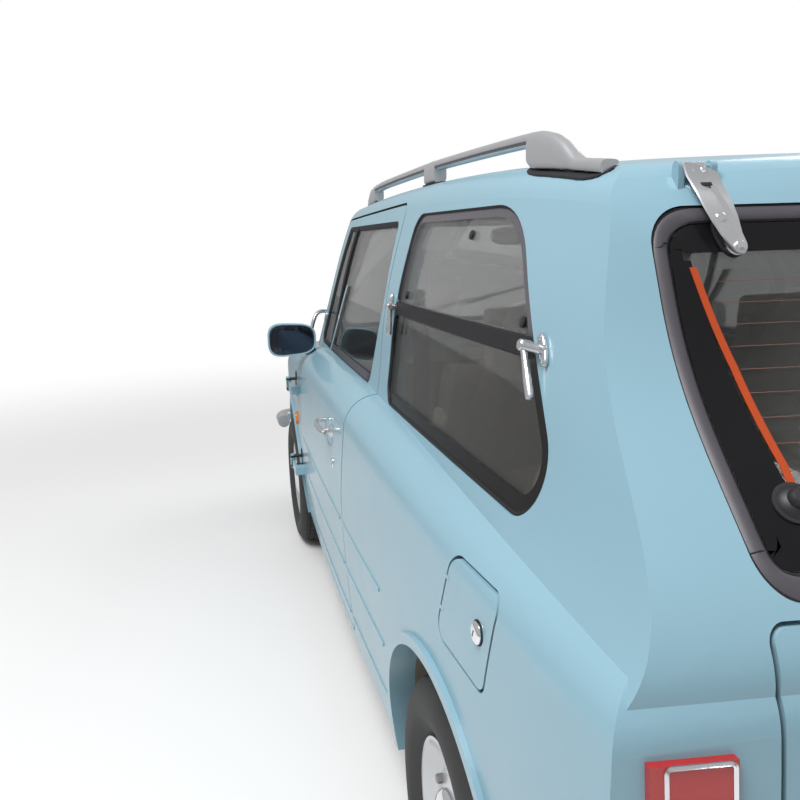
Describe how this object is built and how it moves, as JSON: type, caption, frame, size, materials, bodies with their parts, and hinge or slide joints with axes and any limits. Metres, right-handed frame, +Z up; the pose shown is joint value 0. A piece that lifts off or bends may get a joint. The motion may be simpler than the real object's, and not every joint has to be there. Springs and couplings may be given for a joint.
{
  "type": "retro city car",
  "caption": "Small two-door retro city car with a glass hatch, drop-down tailgate, roof rails and tubular bumpers.",
  "frame": {"origin": "on the ground under the middle of the car", "axes": "-Y forward along the car, +X to its left side, +Z up"},
  "size_m": [1.77, 3.7398, 1.4789],
  "materials": {
    "body_paint": "gloss",
    "window_glass": "clear",
    "lamp_glass": "clear",
    "lamp_red": "gloss",
    "lamp_amber": "gloss",
    "silver_metal": "satin",
    "bright_metal": "polished",
    "black_rubber": "matt",
    "tyre_rubber": "matt",
    "wheel_paint": "satin",
    "dark_metal": "satin",
    "steel": "satin",
    "trim_plastic": "matt",
    "dark_plastic": "matt",
    "seat_cloth": "woven"
  },
  "bodies": {
    "body": {"side_panel_left": "body_paint", "side_panel_right": "body_paint", "roof_panel": "body_paint", "bulkhead": "body_paint", "rear_panel": "body_paint", "fender_left": "body_paint", "fender_right": "body_paint", "nose_panel": "body_paint", "grille": "silver_metal", "floor_pan": "body_paint", "windscreen": "window_glass", "side_glass": "window_glass", "side_window_bars": "dark_plastic", "front_subframe": "dark_metal", "inner_wing_left": "body_paint", "inner_wing_right": "body_paint", "engine_block": "dark_metal", "radiator": "dark_metal", "rear_axle": "dark_metal", "fuel_tank": "dark_metal", "exhaust": "steel", "front_bumper": "silver_metal", "rear_bumper": "silver_metal", "roof_rails": "silver_metal", "headlamp_bezels": "bright_metal", "headlamp_glasses": "lamp_glass", "tail_lamps": "lamp_red", "turn_lamps": "lamp_amber", "door_hinges_left": "body_paint", "door_hinges_right": "body_paint", "hatch_hinge_feet": "bright_metal", "seat_bases": "dark_plastic", "seat_left": "seat_cloth", "seat_right": "seat_cloth", "rear_seat": "seat_cloth", "dashboard": "trim_plastic", "steering_wheel": "dark_plastic"},
    "door_left_assembly": {"door_left": "body_paint", "door_glass_left": "window_glass", "door_mirror_left": "body_paint", "door_handle_left": "silver_metal"},
    "door_right_assembly": {"door_right": "body_paint", "door_glass_right": "window_glass", "door_mirror_right": "body_paint", "door_handle_right": "silver_metal"},
    "bonnet_lid": {"bonnet": "body_paint"},
    "hatch": {"hatch_glass": "window_glass", "hatch_straps": "bright_metal"},
    "tailgate_lid": {"tailgate": "body_paint"},
    "flap": {"fuel_flap": "body_paint"},
    "steering_left": {"knuckle_left": "dark_metal"},
    "steering_right": {"knuckle_right": "dark_metal"},
    "roadwheel_front_left": {"wheel_front_left": "wheel_paint", "tyre_front_left": "tyre_rubber"},
    "roadwheel_front_right": {"wheel_front_right": "wheel_paint", "tyre_front_right": "tyre_rubber"},
    "roadwheel_rear_left": {"wheel_rear_left": "wheel_paint", "tyre_rear_left": "tyre_rubber"},
    "roadwheel_rear_right": {"wheel_rear_right": "wheel_paint", "tyre_rear_right": "tyre_rubber"}
  },
  "joints": [
    {"name": "door_left_hinge", "type": "hinge", "parent": "body", "child": "door_left_assembly", "pos_m": [0.793, -0.8, 0.6065], "axis": [0, 0, -1], "range_deg": [0, 65]},
    {"name": "door_right_hinge", "type": "hinge", "parent": "body", "child": "door_right_assembly", "pos_m": [-0.793, -0.8, 0.6065], "axis": [0, 0, 1], "range_deg": [0, 65]},
    {"name": "bonnet_hinge", "type": "hinge", "parent": "body", "child": "bonnet_lid", "pos_m": [0, -0.85, 0.904], "axis": [-1, 0, 0], "range_deg": [0, 50]},
    {"name": "hatch_hinge", "type": "hinge", "parent": "body", "child": "hatch", "pos_m": [0, 1.357, 1.389], "axis": [1, 0, 0], "range_deg": [0, 70]},
    {"name": "tailgate_hinge", "type": "hinge", "parent": "body", "child": "tailgate_lid", "pos_m": [0, 1.785, 0.5], "axis": [-1, 0, 0], "range_deg": [0, 90]},
    {"name": "fuel_flap_hinge", "type": "hinge", "parent": "body", "child": "flap", "pos_m": [0.7512, 1.2105, 0.742], "axis": [0.0599, -0.3766, -0.9244], "range_deg": [0, 95]},
    {"name": "steer_left", "type": "hinge", "parent": "body", "child": "steering_left", "pos_m": [0.6, -1.17, 0.194], "axis": [-0.0875, 0, 0.9962], "range_deg": [-32, 32]},
    {"name": "steer_right", "type": "hinge", "parent": "body", "child": "steering_right", "pos_m": [-0.6, -1.17, 0.194], "axis": [0.0875, 0, 0.9962], "range_deg": [-32, 32]},
    {"name": "wheel_front_left_spin", "type": "hinge", "parent": "steering_left", "child": "roadwheel_front_left", "pos_m": [0.6825, -1.17, 0.275], "axis": [1, 0, 0], "continuous": true},
    {"name": "wheel_front_right_spin", "type": "hinge", "parent": "steering_right", "child": "roadwheel_front_right", "pos_m": [-0.6825, -1.17, 0.275], "axis": [1, 0, 0], "continuous": true},
    {"name": "wheel_rear_left_spin", "type": "hinge", "parent": "body", "child": "roadwheel_rear_left", "pos_m": [0.6775, 1.13, 0.275], "axis": [1, 0, 0], "continuous": true},
    {"name": "wheel_rear_right_spin", "type": "hinge", "parent": "body", "child": "roadwheel_rear_right", "pos_m": [-0.6775, 1.13, 0.275], "axis": [1, 0, 0], "continuous": true}
  ],
  "couplings": [
    {"joint": "steer_right", "follows": "steer_left", "ratio": 1}
  ]
}
